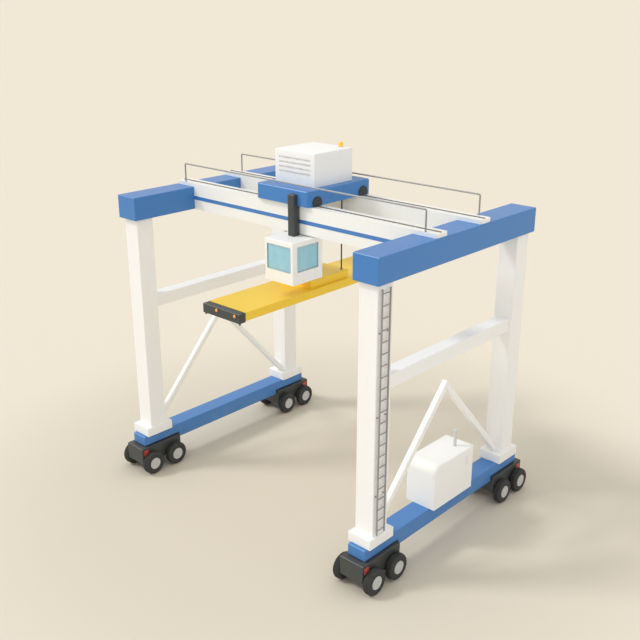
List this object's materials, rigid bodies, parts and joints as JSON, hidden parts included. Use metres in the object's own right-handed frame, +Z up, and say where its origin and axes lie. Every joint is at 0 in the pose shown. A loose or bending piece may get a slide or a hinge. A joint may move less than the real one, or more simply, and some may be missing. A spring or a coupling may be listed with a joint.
{
  "type": "rubber tyred gantry crane",
  "caption": "Portal crane on rubber tyred bogies with a trolley, hanging cab, machinery house and a container spreader on ropes.",
  "frame": {"origin": "centre of the crane on the ground, under the middle of the portal", "axes": "+X along the girders to the side with the power unit, +Y along the way the crane drives, +Z up"},
  "size_m": [17.19, 12.7596, 17.468],
  "materials": {
    "blue_paint": "satin",
    "cream_paint": "satin",
    "rail_steel": "worn",
    "grey_paint": "satin",
    "dark_paint": "satin",
    "dark_rubber": "matt",
    "wire_rope": "greased",
    "yellow_paint": "satin",
    "orange_lens": "gloss",
    "window_glass": "clear",
    "wheel_rubber": "matt"
  },
  "bodies": {
    "gantry": {"right_sill_beam": "blue_paint", "left_sill_beam": "blue_paint", "right_end_beam": "blue_paint", "left_end_beam": "blue_paint", "front_right_leg": "cream_paint", "rear_right_leg": "cream_paint", "front_left_leg": "cream_paint", "rear_left_leg": "cream_paint", "right_middle_brace": "cream_paint", "left_middle_brace": "cream_paint", "front_right_diagonal": "cream_paint", "rear_right_diagonal": "cream_paint", "front_left_diagonal": "cream_paint", "rear_left_diagonal": "cream_paint", "front_girder": "cream_paint", "rear_girder": "cream_paint", "power_unit": "cream_paint", "exhaust_pipe": "cream_paint", "front_rail": "rail_steel", "rear_rail": "rail_steel", "front_handrail": "grey_paint", "rear_handrail": "grey_paint", "ladder": "grey_paint"},
    "trolley": {"trolley_frame": "blue_paint", "machinery_house": "cream_paint", "warning_lamp": "orange_lens", "wheel_end_covers": "dark_rubber", "hoist_drum": "rail_steel", "rope_sheaves": "dark_paint", "rope_leads": "wire_rope", "hoist_ropes": "wire_rope", "cab_post": "dark_paint", "cab_shell": "cream_paint", "cab_windows": "window_glass"},
    "spreader": {"headblock": "yellow_paint", "spreader_body": "yellow_paint", "front_spreader_end": "dark_paint", "rear_spreader_end": "dark_paint", "signal_lamps": "orange_lens", "twistlocks": "rail_steel"},
    "left_trolley_axle": {"left_trolley_wheels": "rail_steel"},
    "right_trolley_axle": {"right_trolley_wheels": "rail_steel"},
    "front_right_bogie_frame": {"front_right_bogie": "dark_paint"},
    "front_right_outer_axle": {"front_right_outer_wheels": "wheel_rubber"},
    "front_right_inner_axle": {"front_right_inner_wheels": "wheel_rubber"},
    "front_left_bogie_frame": {"front_left_bogie": "dark_paint"},
    "front_left_outer_axle": {"front_left_outer_wheels": "wheel_rubber"},
    "front_left_inner_axle": {"front_left_inner_wheels": "wheel_rubber"},
    "rear_right_bogie_frame": {"rear_right_bogie": "dark_paint"},
    "rear_right_outer_axle": {"rear_right_outer_wheels": "wheel_rubber"},
    "rear_right_inner_axle": {"rear_right_inner_wheels": "wheel_rubber"},
    "rear_left_bogie_frame": {"rear_left_bogie": "dark_paint"},
    "rear_left_outer_axle": {"rear_left_outer_wheels": "wheel_rubber"},
    "rear_left_inner_axle": {"rear_left_inner_wheels": "wheel_rubber"}
  },
  "joints": [
    {"name": "trolley_travel", "type": "slide", "parent": "gantry", "child": "trolley", "axis": [1, 0, 0], "range_m": [-5.24, 5.85]},
    {"name": "hoist", "type": "slide", "parent": "trolley", "child": "spreader", "axis": [0, 0, 1], "range_m": [-7.79, 0.7], "deforming": ["hoist_ropes"]},
    {"name": "left_trolley_axle_roll", "type": "hinge", "parent": "trolley", "child": "left_trolley_axle", "pos_m": [-1.677, 0, 15.1953], "axis": [0, 1, 0], "continuous": true},
    {"name": "right_trolley_axle_roll", "type": "hinge", "parent": "trolley", "child": "right_trolley_axle", "pos_m": [0.823, 0, 15.1953], "axis": [0, 1, 0], "continuous": true},
    {"name": "front_right_steer", "type": "hinge", "parent": "gantry", "child": "front_right_bogie_frame", "pos_m": [7.565, -5.025, 1.4], "axis": [0, 0, 1], "range_deg": [0, 90]},
    {"name": "front_right_outer_roll", "type": "hinge", "parent": "front_right_bogie_frame", "child": "front_right_outer_axle", "pos_m": [7.565, -5.775, 0.605], "axis": [1, 0, 0], "continuous": true},
    {"name": "front_right_inner_roll", "type": "hinge", "parent": "front_right_bogie_frame", "child": "front_right_inner_axle", "pos_m": [7.565, -4.275, 0.605], "axis": [1, 0, 0], "continuous": true},
    {"name": "front_left_steer", "type": "hinge", "parent": "gantry", "child": "front_left_bogie_frame", "pos_m": [-7.565, -5.025, 1.4], "axis": [0, 0, 1], "range_deg": [0, 90]},
    {"name": "front_left_outer_roll", "type": "hinge", "parent": "front_left_bogie_frame", "child": "front_left_outer_axle", "pos_m": [-7.565, -5.775, 0.605], "axis": [1, 0, 0], "continuous": true},
    {"name": "front_left_inner_roll", "type": "hinge", "parent": "front_left_bogie_frame", "child": "front_left_inner_axle", "pos_m": [-7.565, -4.275, 0.605], "axis": [1, 0, 0], "continuous": true},
    {"name": "rear_right_steer", "type": "hinge", "parent": "gantry", "child": "rear_right_bogie_frame", "pos_m": [7.565, 5.025, 1.4], "axis": [0, 0, 1], "range_deg": [0, 90]},
    {"name": "rear_right_outer_roll", "type": "hinge", "parent": "rear_right_bogie_frame", "child": "rear_right_outer_axle", "pos_m": [7.565, 5.775, 0.605], "axis": [1, 0, 0], "continuous": true},
    {"name": "rear_right_inner_roll", "type": "hinge", "parent": "rear_right_bogie_frame", "child": "rear_right_inner_axle", "pos_m": [7.565, 4.275, 0.605], "axis": [1, 0, 0], "continuous": true},
    {"name": "rear_left_steer", "type": "hinge", "parent": "gantry", "child": "rear_left_bogie_frame", "pos_m": [-7.565, 5.025, 1.4], "axis": [0, 0, 1], "range_deg": [0, 90]},
    {"name": "rear_left_outer_roll", "type": "hinge", "parent": "rear_left_bogie_frame", "child": "rear_left_outer_axle", "pos_m": [-7.565, 5.775, 0.605], "axis": [1, 0, 0], "continuous": true},
    {"name": "rear_left_inner_roll", "type": "hinge", "parent": "rear_left_bogie_frame", "child": "rear_left_inner_axle", "pos_m": [-7.565, 4.275, 0.605], "axis": [1, 0, 0], "continuous": true}
  ],
  "couplings": [
    {"joint": "left_trolley_axle_roll", "follows": "trolley_travel", "rad_per_m": 5},
    {"joint": "right_trolley_axle_roll", "follows": "trolley_travel", "rad_per_m": 5}
  ]
}
